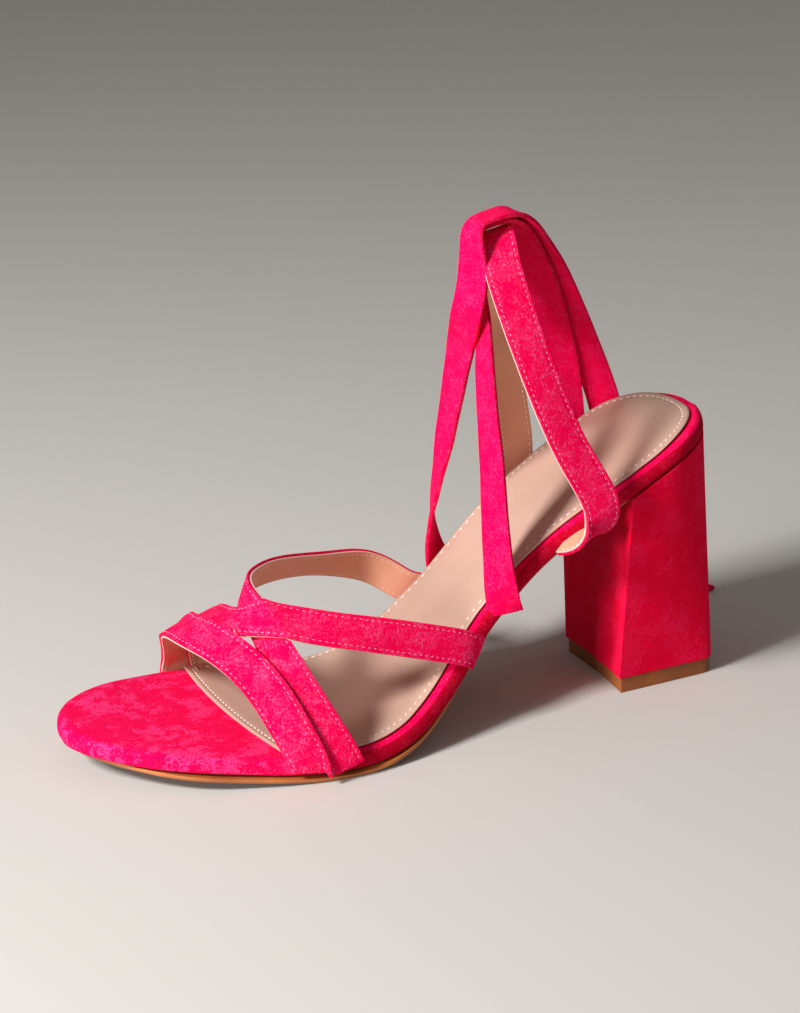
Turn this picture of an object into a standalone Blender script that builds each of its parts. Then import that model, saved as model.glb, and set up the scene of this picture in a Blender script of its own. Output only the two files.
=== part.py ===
# Lace-up heeled sandal, a left shoe: toe towards -X, outer (lateral) side towards -Y, up is +Z.
# The tables are in millimetres and the meshes in metres. Z = 0 is the floor, and the origin is the
# centre of the heel's foot.
import bpy
import bmesh
from math import cos, sin, radians
from mathutils import Vector

MM = 0.001

# The last: slope of the insole (down towards the toe) and its two half widths, by the distance
# along the insole from the back of the heel.
LAST = (
    # along, slope, lateral, medial
    (0.0, 6.0, 29.2, 28.8),
    (15.0, 21.5, 29.2, 28.8),
    (29.4, 28.9, 29.0, 28.8),
    (44.0, 29.0, 28.8, 29.0),
    (58.8, 29.2, 28.0, 27.4),
    (73.0, 36.0, 27.2, 25.0),
    (88.2, 44.0, 26.2, 23.2),
    (103.0, 45.4, 26.4, 22.9),
    (117.6, 45.6, 30.4, 25.4),
    (133.0, 35.8, 36.6, 28.8),
    (147.0, 20.2, 42.4, 32.6),
    (158.0, 6.3, 44.4, 35.7),
    (168.6, -3.0, 44.7, 38.6),
    (182.0, -5.0, 43.3, 41.3),
    (196.0, -5.9, 39.9, 42.3),
    (212.0, -5.8, 36.0, 38.6),
    (228.0, -5.3, 32.6, 35.2),
    (245.0, -3.9, 29.0, 32.5),
)
LAST_LENGTH = 245.0
HEEL_BACK_X = 18.7          # the back of the insole
HEEL_ROUND = 29.0           # how far the round back of the heel seat reaches along the insole
TOE_ROUND = {-1: 44.0, 1: 30.0}     # how far the round of the toe reaches back on each side
TOE_POWER = 2.0             # 2 is an ellipse, more is squarer
TOE_SHIFT = 3.0             # the toe's tip lies this far towards the medial side
CUP = 1.1                   # hollow of the heel seat

# Depths below the top of the sock, square to the insole.
SOCK_THICK = 1.0
FOOTBED_TOP = 1.3
FOOTBED_BASE = 7.3
OUTSOLE_TOP = 7.6
OUTSOLE_THICK = 2.1
WAIST_THICK = 1.3
SOLE_SINK = 0.25            # the sole's lowest curve is flattened by this much into a flat spot
SOLE_PROUD = 0.8            # the outsole's edge stands out past the footbed at the forefoot
GAP = 0.3

SOCK_INSET = 2.2
SOCK_FRONT_LATERAL = 186.5  # where the sock ends, along the insole, at its two edges and middle
SOCK_FRONT_MEDIAL = 193.5
SOCK_FRONT_BULGE = 3.2

# The heel: its foot is a rounded D, and its top follows the footbed back from the breast.
BREAST_AT = 42.0            # along the insole
LIFT_THICK = 5.0
FOOT_FRONT_X = -18.8
FOOT_BACK_X = 18.8
FOOT_FRONT_HALF = 21.4
FOOT_BACK_HALF = 18.2
FOOT_CORNER = 6.0
FOOT_BULGE = 1.6            # the back edge of the foot is a shallow arc
BREAST_HOLLOW = 1.0
LIFT_INSET = 0.7

# Straps: width and thickness of the suede with its lining.
STRAP_WIDTH = 11.2
STRAP_THICK = 1.8
SLING_WIDTH = 12.0
TIE_WIDTH = 11.0
TIE_THICK = 1.6
FOOT_AXIS_HEIGHT = 8.0      # the foot's middle line runs this far above the insole
INSTEP_RISE = 0.45          # slope of the top of the foot, up to the rear
STRAP_END_RISE = 1.2        # straps end this far above the footbed's base
RIM_BOW = 0.4               # straps bulge this far off the rim
SLING_BOW = 3.2             # and the sling's outer end this far
WALL_STAND_OFF = 0.7        # gap between the footbed's wall and a strap's inner face

# Rows of a strap between its two ends on the footbed's wall: a point of its middle line.
TOE_STRAP = (
    # x, y, z
    (-147.0, -35.0, 31.2),
    (-156.3, -21.9, 43.2),
    (-160.5, -7.0, 44.2),
    (-157.6, 9.0, 37.3),
    (-154.0, 26.0, 26.3),
    (-151.3, 41.6, 15.0),
)
CROSS_STRAP = (
    (-97.0, -31.8, 37.2),
    (-120.0, -31.0, 43.7),
    (-139.5, -24.5, 48.2),
    (-152.5, -13.0, 47.6),
    (-151.0, 3.0, 44.0),
    (-147.0, 23.0, 32.8),
    (-141.0, 41.2, 15.5),
)
INSTEP_STRAP = (
    (-131.5, -42.5, 24.0),
    (-137.0, -33.0, 36.8),
    (-139.8, -21.5, 46.3),
    (-136.8, -5.0, 50.2),
    (-127.0, 12.0, 49.6),
    (-106.5, 27.0, 44.5),
    (-85.5, 32.0, 38.8),
)
# Rows of a strap or tie with the heading (turn, from +X about Z) and the rise (lean) of its width.
SLING = (
    # x, y, z, turn, lean
    (-31.8, -35.4, 71.0, 0.0, 30.0),
    (-33.0, -35.0, 78.0, 0.0, 28.0),
    (-40.4, -32.0, 93.4, 0.0, 25.0),
    (-47.5, -25.5, 116.5, 0.0, 20.0),
    (-51.0, -12.5, 141.0, 0.0, 16.0),
    (-49.5, 0.0, 154.0, 0.0, 16.0),
    (-46.0, 10.5, 145.5, 0.0, 18.0),
    (-41.0, 19.0, 121.0, 0.0, 22.0),
    (-35.5, 26.0, 95.0, 0.0, 26.0),
    (-32.0, 29.2, 76.0, 0.0, 28.0),
)
TIE_LATERAL = (
    (-62.2, -27.3, 60.7, 0.0, 20.0),
    (-62.4, -24.0, 79.5, 15.0, 10.0),
    (-61.4, -20.0, 97.3, 35.0, 5.0),
    (-58.8, -12.0, 115.0, 50.0, 0.0),
    (-57.9, -2.0, 129.0, 65.0, 0.0),
    (-57.7, 1.4, 138.0, 85.0, 0.0),
)
TIE_MEDIAL = (
    (-63.4, 24.0, 57.0, 25.0, 20.0),
    (-62.3, 21.5, 74.0, 35.0, 10.0),
    (-60.5, 18.0, 89.0, 35.0, 5.0),
    (-58.8, 11.0, 112.0, 30.0, 0.0),
    (-58.5, -0.8, 129.0, 60.0, 0.0),
    (-60.0, -1.8, 138.0, 82.0, 0.0),
)
# The ties' free ends: over the sling, past the far rim of the heel seat and down to the floor.
END_LATERAL = (
    (-57.6, 1.6, 139.5, 86.0, 0.0),
    (-57.4, 2.4, 149.5, 90.0, 0.0),
    (-55.4, 2.6, 155.5, 90.0, 0.0),
    (-49.3, 2.4, 157.1, 90.0, 0.0),
    (-43.0, 3.2, 157.6, 95.0, 0.0),
    (-37.0, 5.4, 151.5, 108.0, 0.0),
    (-27.5, 12.5, 130.0, 140.0, 0.0),
    (-19.0, 24.0, 103.0, 165.0, 0.0),
    (-11.5, 31.2, 86.5, 180.0, 0.0),
    (-9.5, 34.0, 70.0, 180.0, 0.0),
    (-8.0, 35.0, 45.0, 180.0, 0.0),
    (-6.0, 36.0, 22.0, 180.0, 0.0),
    (-3.5, 38.5, 8.0, 178.0, 0.0),
    (1.0, 47.0, 2.0, 165.0, 0.0),
    (11.0, 58.0, 1.3, 140.0, 0.0),
    (26.0, 66.0, 1.3, 112.0, 0.0),
)
END_MEDIAL = (
    (-60.1, -1.8, 139.5, 83.0, 0.0),
    (-59.8, -1.4, 150.5, 88.0, 0.0),
    (-56.7, -1.0, 157.8, 90.0, 0.0),
    (-49.2, -0.5, 159.5, 90.0, 0.0),
    (-41.5, 1.0, 159.8, 95.0, 0.0),
    (-34.5, 2.8, 154.0, 106.0, 0.0),
    (-24.0, 9.0, 135.0, 125.0, 0.0),
    (-12.0, 18.5, 111.0, 140.0, 0.0),
    (0.0, 26.5, 96.5, 150.0, 0.0),
    (5.8, 31.5, 85.0, 152.0, 0.0),
    (8.0, 33.5, 65.0, 152.0, 0.0),
    (9.5, 34.5, 40.0, 152.0, 0.0),
    (11.5, 36.0, 18.0, 150.0, 0.0),
    (15.0, 39.5, 6.0, 148.0, 0.0),
    (23.0, 46.0, 1.8, 142.0, 0.0),
    (36.0, 53.0, 1.3, 118.0, 0.0),
    (52.0, 56.0, 1.3, 100.0, 0.0),
)
# Where each strip meets the footbed's wall: distances along the insole at its rim and at its base.
TOE_STRAP_ENDS = ((180.0, 178.5), (196.0, 196.5))
CROSS_STRAP_ENDS = ((114.0, 113.2), (184.0, 184.0))
INSTEP_STRAP_ENDS = ((168.6, 167.0), (115.0, 112.5))
SLING_ENDS = ((61.5, 65.0), (57.0, 58.5))
TIE_LATERAL_ENDS = (97.6, 97.6)
TIE_MEDIAL_ENDS = (97.0, 97.0)


def curve(stations, values):
    """Monotone cubic through the values, straight beyond both ends."""
    gaps = [b - a for a, b in zip(stations, stations[1:])]
    rises = [(b - a) / gap for a, b, gap in zip(values, values[1:], gaps)]
    slopes = [rises[0]]
    for before, after in zip(rises, rises[1:]):
        level = before * after <= 0.0
        slopes.append(0.0 if level else 2.0 * before * after / (before + after))
    slopes.append(rises[-1])

    def at(place):
        if place <= stations[0]:
            return values[0] + slopes[0] * (place - stations[0])
        if place >= stations[-1]:
            return values[-1] + slopes[-1] * (place - stations[-1])
        i = max(k for k in range(len(gaps)) if stations[k] <= place)
        t = (place - stations[i]) / gaps[i]
        start, end = values[i], values[i + 1]
        a, b = slopes[i] * gaps[i], slopes[i + 1] * gaps[i]
        return start + t * (a + t * (3 * (end - start) - 2 * a - b + t * (a + b - 2 * (end - start))))

    return at


ALONG, SLOPE, LATERAL, MEDIAL = (list(column) for column in zip(*LAST))
slope_at = curve(ALONG, SLOPE)
half_at = {-1: curve(ALONG, LATERAL), 1: curve(ALONG, MEDIAL)}


def trace_last():
    """The insole's side line: (x, z) at every half millimetre, its lowest point at the ball."""
    step = 0.5
    line = [(HEEL_BACK_X, 0.0)]
    for i in range(int(LAST_LENGTH / step)):
        angle = radians(slope_at((i + 0.5) * step))
        x, z = line[-1]
        line.append((x - step * cos(angle), z - step * sin(angle)))
    ball_height = OUTSOLE_TOP + OUTSOLE_THICK - SOLE_SINK
    lift = ball_height - min(z for x, z in line)
    return step, [(x, z + lift) for x, z in line]


STEP, SIDE_LINE = trace_last()


def station(along):
    """x, z and slope (radians) of the insole's top at a distance along it."""
    angle = radians(slope_at(min(max(along, 0.0), LAST_LENGTH)))
    i = int(min(max(along / STEP, 0), len(SIDE_LINE) - 1))
    x, z = SIDE_LINE[i]
    rest = along - i * STEP
    return x - rest * cos(angle), z - rest * sin(angle), angle


def place(along, across, depth):
    """A point of the sole, by its distance along, distance across and depth below the insole."""
    x, z, angle = station(along)
    return Vector((x + depth * sin(angle), across, z - depth * cos(angle)))


def middle_at(along):
    """The foot's middle line swings to the medial side towards the toe."""
    t = min(max((along - 190.0) / (LAST_LENGTH - 190.0), 0.0), 1.0)
    return TOE_SHIFT * t * t


def half_width(along, side):
    """Distance from the middle line to the insole's edge, with the round heel and toe."""
    half = half_at[side](along) - side * middle_at(along)
    if along < HEEL_ROUND:
        half *= max(1.0 - ((HEEL_ROUND - along) / HEEL_ROUND) ** 2, 0.0) ** 0.5
    from_tip = LAST_LENGTH - along
    reach = TOE_ROUND[side]
    if from_tip < reach:
        half *= max(1.0 - ((reach - from_tip) / reach) ** TOE_POWER, 0.0) ** (1.0 / TOE_POWER)
    return half


def edge_point(along, side, inset):
    """(along, across) of the insole's edge, moved inwards square to the edge."""
    reach = 0.05
    ahead = middle_at(along + reach) + side * half_width(along + reach, side)
    behind = middle_at(along - reach) + side * half_width(along - reach, side)
    rise = (ahead - behind) / (2.0 * reach)
    length = (1.0 + rise * rise) ** 0.5
    across = middle_at(along) + side * half_width(along, side)
    return along + side * inset * rise / length, across - side * inset / length


def rows_between(first, last, count):
    """Distances along the insole, closer together where the heel and the toe turn."""
    rows = [first + (last - first) * i / count for i in range(count + 1)]
    turns = [1.0 - cos(radians(angle)) for angle in (11, 20, 29, 38, 48, 60, 74)]
    rows += [HEEL_ROUND * turn for turn in turns if HEEL_ROUND * turn > first]
    rows += [LAST_LENGTH - TOE_ROUND[1] * turn for turn in turns if LAST_LENGTH - TOE_ROUND[1] * turn < last]
    rows.sort()
    kept = [rows[0]]
    for row in rows[1:-1]:
        if row - kept[-1] > 0.4 and last - row > 0.3:
            kept.append(row)
    return kept + [last]


def layer(rows, inset, depth, columns, cup=0.0, warp=None):
    """A grid of points across the sole at the given rows; depth is a distance or a function."""
    grid = []
    for along in rows:
        ends = []
        for side in (-1, 1):
            at = warp(along, side) if warp else along
            ends.append(edge_point(at, side, inset))
        line = []
        for k in range(columns + 1):
            t = k / columns
            s = ends[0][0] + t * (ends[1][0] - ends[0][0])
            y = ends[0][1] + t * (ends[1][1] - ends[0][1])
            if warp:
                s += 4.0 * t * (1.0 - t) * SOCK_FRONT_BULGE * front_share(along)
            fade = min(max((110.0 - s) / 50.0, 0.0), 1.0)
            hollow = cup * fade * 4.0 * t * (1.0 - t)
            down = depth(s) if callable(depth) else depth
            point = place(s, y, down + hollow)
            point.z = max(point.z, 0.0)
            line.append(point)
        grid.append(line)
    return grid


def border(grid):
    """The points around a grid's edge, in order."""
    lateral = [line[0] for line in grid]
    medial = [line[-1] for line in reversed(grid)]
    return lateral + grid[-1][1:-1] + medial + grid[0][-2:0:-1]


def new_object(name, bm, material, collection):
    """A mesh object in metres, with its normals outwards."""
    bmesh.ops.recalc_face_normals(bm, faces=bm.faces)
    bmesh.ops.scale(bm, vec=(MM, MM, MM), verts=bm.verts)
    mesh = bpy.data.meshes.new(name)
    bm.to_mesh(mesh)
    bm.free()
    obj = bpy.data.objects.new(name, mesh)
    if material:
        mesh.materials.append(material)
    collection.objects.link(obj)
    return obj


def add_loop_walls(bm, loops):
    """Quads between each loop of vertices and the next."""
    for low, high in zip(loops, loops[1:]):
        for i in range(len(low)):
            j = (i + 1) % len(low)
            bm.faces.new((low[i], low[j], high[j], high[i]))


def add_deck(bm, grid):
    """The grid's vertices, joined by quads."""
    verts = [[bm.verts.new(point) for point in line] for line in grid]
    for line, ahead in zip(verts, verts[1:]):
        for k in range(len(line) - 1):
            bm.faces.new((line[k], line[k + 1], ahead[k + 1], ahead[k]))
    return verts


def sole_slab(name, layers, material, collection):
    """A closed slab: a deck from the first and the last layer, and walls through the others."""
    bm = bmesh.new()
    loops = [border(add_deck(bm, layers[0]))]
    for middle in layers[1:-1]:
        loops.append([bm.verts.new(point) for point in border(middle)])
    loops.append(border(add_deck(bm, layers[-1])))
    add_loop_walls(bm, loops)
    return new_object(name, bm, material, collection)


def front_share(along):
    """0 behind the ball and 1 at the sock's front edge."""
    start = 150.0
    t = min(max((along - start) / (SOCK_FRONT_MEDIAL - start), 0.0), 1.0)
    return t * t


def sock_warp(along, side):
    """The sock's rows lean forward so that its front edge runs askew."""
    start = 150.0
    if along <= start:
        return along
    end = SOCK_FRONT_LATERAL if side < 0 else SOCK_FRONT_MEDIAL
    return start + (along - start) * (end - start) / (SOCK_FRONT_MEDIAL - start)


def waist_blend(along):
    """1 under the waist, between the heel and the forefoot, and 0 under the forefoot."""
    t = min(max((150.0 - along) / 40.0, 0.0), 1.0)
    return t * t * (3.0 - 2.0 * t)


def outsole_base(along):
    thick = OUTSOLE_THICK + (WAIST_THICK - OUTSOLE_THICK) * waist_blend(along)
    return OUTSOLE_TOP + thick


def outsole_layer(rows, inward, depth):
    grid = []
    for along in rows:
        inset = -SOLE_PROUD + (SOLE_PROUD + 1.0) * waist_blend(along) + inward
        grid += layer([along], inset, depth, 6)
    return grid


def make_footbed(material, collection):
    rows = rows_between(0.4, LAST_LENGTH - 0.4, 38)
    rims = ((0.9, FOOTBED_BASE), (0.0, FOOTBED_BASE - 0.9), (0.0, 3.6), (0.6, 2.2), (2.0, FOOTBED_TOP))
    layers = [layer(rows, inset, depth, 6, CUP if depth == FOOTBED_TOP else 0.0)
              for inset, depth in rims]
    return sole_slab("footbed", layers, material, collection)


def make_sock(material, collection):
    rows = rows_between(2.6, SOCK_FRONT_MEDIAL, 34)
    layers = [layer(rows, SOCK_INSET, depth, 6, CUP, sock_warp) for depth in (SOCK_THICK, 0.0)]
    return sole_slab("sock", layers, material, collection)


def make_outsole(material, collection):
    rows = rows_between(BREAST_AT + 1.0, LAST_LENGTH - 0.4, 36)
    layers = [outsole_layer(rows, 0.5, outsole_base),
              outsole_layer(rows, 0.0, lambda s: outsole_base(s) - 0.6),
              outsole_layer(rows, 0.0, OUTSOLE_TOP)]
    return sole_slab("outsole", layers, material, collection)


def foot_outline(inset):
    """Half of the heel's foot from its lateral front corner to the middle of its back."""
    front, back = FOOT_FRONT_X + inset, FOOT_BACK_X - inset
    front_half, back_half = FOOT_FRONT_HALF - inset, FOOT_BACK_HALF - inset
    corner = FOOT_CORNER - inset
    points = [(front + (back - corner - front) * i / 12, -front_half + (front_half - back_half) * i / 12)
              for i in range(13)]
    for i in range(1, 10):
        angle = radians(10 * i)
        bulge = FOOT_BULGE * (i / 9) * 0.3
        points.append((back - corner + corner * sin(angle) + bulge, -back_half + corner * (1 - cos(angle))))
    start_x, start_y = points[-1]
    for i in range(1, 9):
        t = i / 8
        points.append((start_x + FOOT_BULGE * 0.7 * (1 - (1 - t) ** 2), start_y * (1 - t)))
    return points


def along_outline(points, share):
    """The point at a share (0 to 1) of the outline's length."""
    lengths = [0.0]
    for (ax, ay), (bx, by) in zip(points, points[1:]):
        lengths.append(lengths[-1] + ((bx - ax) ** 2 + (by - ay) ** 2) ** 0.5)
    target = share * lengths[-1]
    for i in range(len(points) - 1):
        if target <= lengths[i + 1] or i == len(points) - 2:
            t = (target - lengths[i]) / (lengths[i + 1] - lengths[i])
            (ax, ay), (bx, by) = points[i], points[i + 1]
            return ax + t * (bx - ax), ay + t * (by - ay)


def heel_rows():
    """Rows of the heel's seat, back from the breast, with their share of the edge's length."""
    rows = [row for row in rows_between(0.4, 70.0, 24) if row < BREAST_AT - 0.5] + [BREAST_AT]
    rows.reverse()
    points = [edge_point(row, -1, 0.0) for row in rows]
    lengths = [0.0]
    for a, b in zip(points, points[1:]):
        lengths.append(lengths[-1] + ((b[0] - a[0]) ** 2 + (b[1] - a[1]) ** 2) ** 0.5)
    return rows, [length / lengths[-1] for length in lengths]


def heel_grid(rows, shares, level, seat_inset, foot_z, foot_inset, columns):
    """A slice of the heel; level is 0 on the foot and 1 under the footbed."""
    outline = foot_outline(foot_inset)
    grid = []
    for row, share in zip(rows, shares):
        x, y = along_outline(outline, share)
        seat = [edge_point(row, side, seat_inset) for side in (-1, 1)]
        line = []
        for k in range(columns + 1):
            t = k / columns
            seat_s = seat[0][0] + t * (seat[1][0] - seat[0][0])
            seat_y = seat[0][1] + t * (seat[1][1] - seat[0][1])
            top = place(seat_s, seat_y, OUTSOLE_TOP)
            foot = Vector((x, y * (1.0 - 2.0 * t), foot_z))
            point = foot.lerp(top, level)
            breast = max(1.0 - (BREAST_AT - row) / 12.0, 0.0)
            point.x += BREAST_HOLLOW * 4.0 * t * (1.0 - t) * breast * breast
            line.append(point)
        grid.append(line)
    return grid


def make_heel(material, collection):
    rows, shares = heel_rows()
    layers = [heel_grid(rows, shares, level, 0.4, LIFT_THICK + GAP, 0.0, 6)
              for level in (0.0, 0.15, 0.35, 0.55, 0.75, 0.9, 1.0)]
    return sole_slab("heel", layers, material, collection)


def make_top_lift(material, collection):
    rows, shares = heel_rows()
    layers = [heel_grid(rows, shares, 0.0, 0.0, z, LIFT_INSET, 6) for z in (0.0, LIFT_THICK)]
    return sole_slab("top_lift", layers, material, collection)


def catmull_rom(a, b, c, d, t):
    """Between b and c, at t from 0 to 1."""
    return 0.5 * ((2.0 * b) + (c - a) * t + (2.0 * a - 5.0 * b + 4.0 * c - d) * t * t
                  + (3.0 * b - a - 3.0 * c + d) * t ** 3)


def smooth_path(points, normals, spacing):
    """A smooth curve through the points, in steps of about the spacing, and the normals along it."""
    ends = [points[0] * 2.0 - points[1]] + list(points) + [points[-1] * 2.0 - points[-2]]
    path, facings = [], []
    for i in range(len(points) - 1):
        pieces = max(int((points[i + 1] - points[i]).length / spacing + 0.5), 2)
        for k in range(pieces):
            path.append(catmull_rom(*ends[i:i + 4], k / pieces))
            facings.append(normals[i].lerp(normals[i + 1], k / pieces).normalized())
    return path + [points[-1]], facings + [normals[-1]]


def insole_height(x):
    """Height of the insole's middle at a place along X."""
    for (ax, az), (bx, bz) in zip(SIDE_LINE, SIDE_LINE[1:]):
        if bx <= x:
            return bz + (az - bz) * (x - bx) / (ax - bx)
    return SIDE_LINE[-1][1]


def ribbon_loop(point, facing, tangent, width, thick):
    """The eight corners of a strip's section, its long edges bevelled."""
    across = facing.cross(tangent)
    half, deep, edge = width / 2.0, thick / 2.0, thick * 0.3
    corners = ((-half, -deep + edge), (-half + edge, -deep), (half - edge, -deep), (half, -deep + edge),
               (half, deep - edge), (half - edge, deep), (-half + edge, deep), (-half, deep - edge))
    return [point + across * u + facing * v for u, v in corners]


def add_ribbon(bm, path, normals, width, thick, cuts=(None, None)):
    """A closed flat strip along the path, facing along the normals.

    A cut is the point and the normal of the plane that trims the strip's end. A section that would
    cross the one before it, on the inside of a bend, is left out.
    """
    loops = []
    last = len(path) - 1
    for i, (point, facing) in enumerate(zip(path, normals)):
        tangent = (path[min(i + 1, last)] - path[max(i - 1, 0)]).normalized()
        facing = (facing - tangent * facing.dot(tangent)).normalized()
        loop = ribbon_loop(point, facing, tangent, width, thick)
        cut = {0: cuts[0], last: cuts[1]}.get(i)
        if cut:
            loop = [p - tangent * ((p - cut[0]).dot(cut[1]) / tangent.dot(cut[1])) for p in loop]

        def crosses(before):
            return any((b - a).dot(tangent) < 0.3 for a, b in zip(before, loop))

        if i == last:
            while len(loops) > 1 and crosses(loops[-1]):
                loops.pop()
        elif loops and crosses(loops[-1]):
            continue
        loops.append(loop)
    rings = [[bm.verts.new(p) for p in loop] for loop in loops]
    add_loop_walls(bm, rings)
    bm.faces.new(rings[0])
    bm.faces.new(rings[-1])


def wall_end(ends, side, thick, bow=RIM_BOW):
    """A strip's end on the footbed's wall: its points and normals from the base up, and its cut.

    The strip bows off the wall's rim and curls under to its base.
    """
    rim, base = ends
    out = WALL_STAND_OFF + thick / 2.0
    points, normals = [], []
    for along, depth, off in ((base, FOOTBED_BASE - STRAP_END_RISE, out + 0.5 * bow), (rim, 2.2, out + bow)):
        point = place(*edge_point(along, side, -off), depth)
        inner = place(*edge_point(along, side, 0.0), depth)
        points.append(point)
        normals.append((point - inner).normalized())
    up = place(base, 0.0, -1.0) - place(base, 0.0, 0.0)
    return points, normals, (points[0], up)


def strip_between(name, points, normals, planes, width, thick, material, collection):
    """A flat strip along the smooth curve through the points, turning from normal to normal."""
    path, facings = smooth_path(points, normals, 5.0)
    bm = bmesh.new()
    add_ribbon(bm, path, facings, width, thick, planes)
    return new_object(name, bm, material, collection)


def foot_normal(point):
    """The outward normal of the foot under a strap: round its middle line, and rising to the rear."""
    height = point.z - insole_height(point.x) - FOOT_AXIS_HEIGHT
    radius = (point.y ** 2 + height ** 2) ** 0.5
    return Vector((-INSTEP_RISE * max(height, 0.0) / radius, point.y / radius, height / radius)).normalized()


def strap_solid(name, ends, middle, material, collection):
    """A strap over the foot from wall to wall, facing away from the foot's middle line."""
    lateral, lateral_normals, lateral_cut = wall_end(ends[0], -1, STRAP_THICK)
    medial, medial_normals, medial_cut = wall_end(ends[1], 1, STRAP_THICK)
    rows = [Vector(row) for row in middle]
    points = lateral + rows + medial[::-1]
    normals = lateral_normals + [foot_normal(row) for row in rows] + medial_normals[::-1]
    return strip_between(name, points, normals, (lateral_cut, medial_cut), STRAP_WIDTH, STRAP_THICK,
                         material, collection)


def facing(points, i, turn, lean):
    """The normal of a strip at its row i, from the heading and the rise of its width."""
    a, b = radians(turn), radians(lean)
    across = Vector((cos(a) * cos(b), sin(a) * cos(b), sin(b)))
    tangent = points[min(i + 1, len(points) - 1)] - points[max(i - 1, 0)]
    return tangent.cross(across).normalized()


def make_sling(material, collection):
    low, low_normals, low_cut = wall_end(SLING_ENDS[0], -1, STRAP_THICK, SLING_BOW)
    high, high_normals, high_cut = wall_end(SLING_ENDS[1], 1, STRAP_THICK)
    points = low + [Vector(row[:3]) for row in SLING] + high[::-1]
    normals = [-facing(points, i + 2, *row[3:]) for i, row in enumerate(SLING)]
    normals = low_normals + normals + high_normals[::-1]
    return strip_between("heel_sling", points, normals, (low_cut, high_cut), SLING_WIDTH, STRAP_THICK,
                         material, collection)


def make_tie(name, ends, side, rows, material, collection):
    """A tie from the footbed's wall to its cut end below the sling."""
    low, low_normals, low_cut = wall_end(ends, side, TIE_THICK)
    points = low + [Vector(row[:3]) for row in rows]
    normals = [facing(points, i + 2, *row[3:]) * side for i, row in enumerate(rows)]
    return strip_between(name, points, low_normals + normals, (low_cut, None), TIE_WIDTH, TIE_THICK,
                         material, collection)


def make_tie_end(name, rows, material, collection):
    points = [Vector(row[:3]) for row in rows]
    normals = [facing(points, i, *row[3:]) for i, row in enumerate(rows)]
    return strip_between(name, points, normals, (None, None), TIE_WIDTH, TIE_THICK, material, collection)


def join_solids(base, others):
    """Adds the other solids to the base with Boolean modifiers."""
    for other in others:
        other.hide_render = True
        other.display_type = "WIRE"
        joint = base.modifiers.new("join " + other.name, "BOOLEAN")
        joint.operation = "UNION"
        joint.solver = "EXACT"
        joint.object = other


def make_material(name, colour, roughness, metallic=0.0):
    material = bpy.data.materials.new(name)
    material.use_nodes = True
    shader = material.node_tree.nodes["Principled BSDF"]
    shader.inputs["Base Color"].default_value = (*colour, 1.0)
    shader.inputs["Roughness"].default_value = roughness
    shader.inputs["Metallic"].default_value = metallic
    return material


def make_collection(name):
    collection = bpy.data.collections.new(name)
    bpy.context.scene.collection.children.link(collection)
    return collection


def main():
    for obj in list(bpy.data.objects):
        bpy.data.objects.remove(obj)
    sandal = make_collection("lace_up_heeled_sandal")
    cutters = make_collection("cutters")
    suede = make_material("suede", (0.85, 0.0, 0.11), 0.9)
    lining = make_material("lining", (0.6, 0.38, 0.3), 0.6)
    sole_leather = make_material("sole_leather", (0.35, 0.11, 0.03), 0.5)
    rubber = make_material("rubber", (0.22, 0.12, 0.05), 0.6)

    make_footbed(suede, sandal)
    make_sock(lining, sandal)
    make_outsole(sole_leather, sandal)
    make_heel(suede, sandal)
    make_top_lift(rubber, sandal)
    upper = strap_solid("upper", TOE_STRAP_ENDS, TOE_STRAP, suede, sandal)
    cross = strap_solid("cross_strap", CROSS_STRAP_ENDS, CROSS_STRAP, suede, cutters)
    instep = strap_solid("instep_strap", INSTEP_STRAP_ENDS, INSTEP_STRAP, suede, cutters)
    join_solids(upper, (cross, instep))
    make_sling(suede, sandal)
    crossing = make_tie("tie_crossing", TIE_LATERAL_ENDS, -1, TIE_LATERAL, suede, sandal)
    medial_tie = make_tie("medial_tie", TIE_MEDIAL_ENDS, 1, TIE_MEDIAL, suede, cutters)
    join_solids(crossing, (medial_tie,))
    make_tie_end("tie_end_lateral", END_LATERAL, suede, sandal)
    make_tie_end("tie_end_medial", END_MEDIAL, suede, sandal)


main()
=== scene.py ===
# Lace up heeled sandal: the looks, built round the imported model. Tables are in millimetres.
from math import cos, sin, pi, radians, sqrt
import random

import bpy
import bmesh
from mathutils import Matrix, Vector
from mathutils.geometry import delaunay_2d_cdt
from mathutils.bvhtree import BVHTree


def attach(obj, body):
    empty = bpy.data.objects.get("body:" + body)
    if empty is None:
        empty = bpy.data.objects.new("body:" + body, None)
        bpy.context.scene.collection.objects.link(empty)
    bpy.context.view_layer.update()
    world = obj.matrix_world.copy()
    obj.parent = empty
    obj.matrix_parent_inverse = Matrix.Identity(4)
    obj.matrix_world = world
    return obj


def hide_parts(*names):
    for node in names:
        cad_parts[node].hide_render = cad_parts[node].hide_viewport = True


mm = 0.001
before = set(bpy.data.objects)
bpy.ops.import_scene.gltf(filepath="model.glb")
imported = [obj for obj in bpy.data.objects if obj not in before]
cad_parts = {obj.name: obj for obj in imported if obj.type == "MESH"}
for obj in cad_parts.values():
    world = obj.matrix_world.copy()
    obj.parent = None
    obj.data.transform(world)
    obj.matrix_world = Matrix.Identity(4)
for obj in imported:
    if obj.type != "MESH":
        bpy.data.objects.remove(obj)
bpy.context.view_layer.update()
bpy.ops.object.select_all(action="DESELECT")
scene = bpy.context.scene


# Camera, its place and roll fitted to the photo and its aim on the one shoe
camera = {
    "position": (-367.4, -770.5, 343.7),
    "aim": (-84.7, 0.0, 68.9),
    "roll": -2.46,              # degrees
    "lens": 122.3,              # millimetres
    "sensor": 36.0,
}


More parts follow.
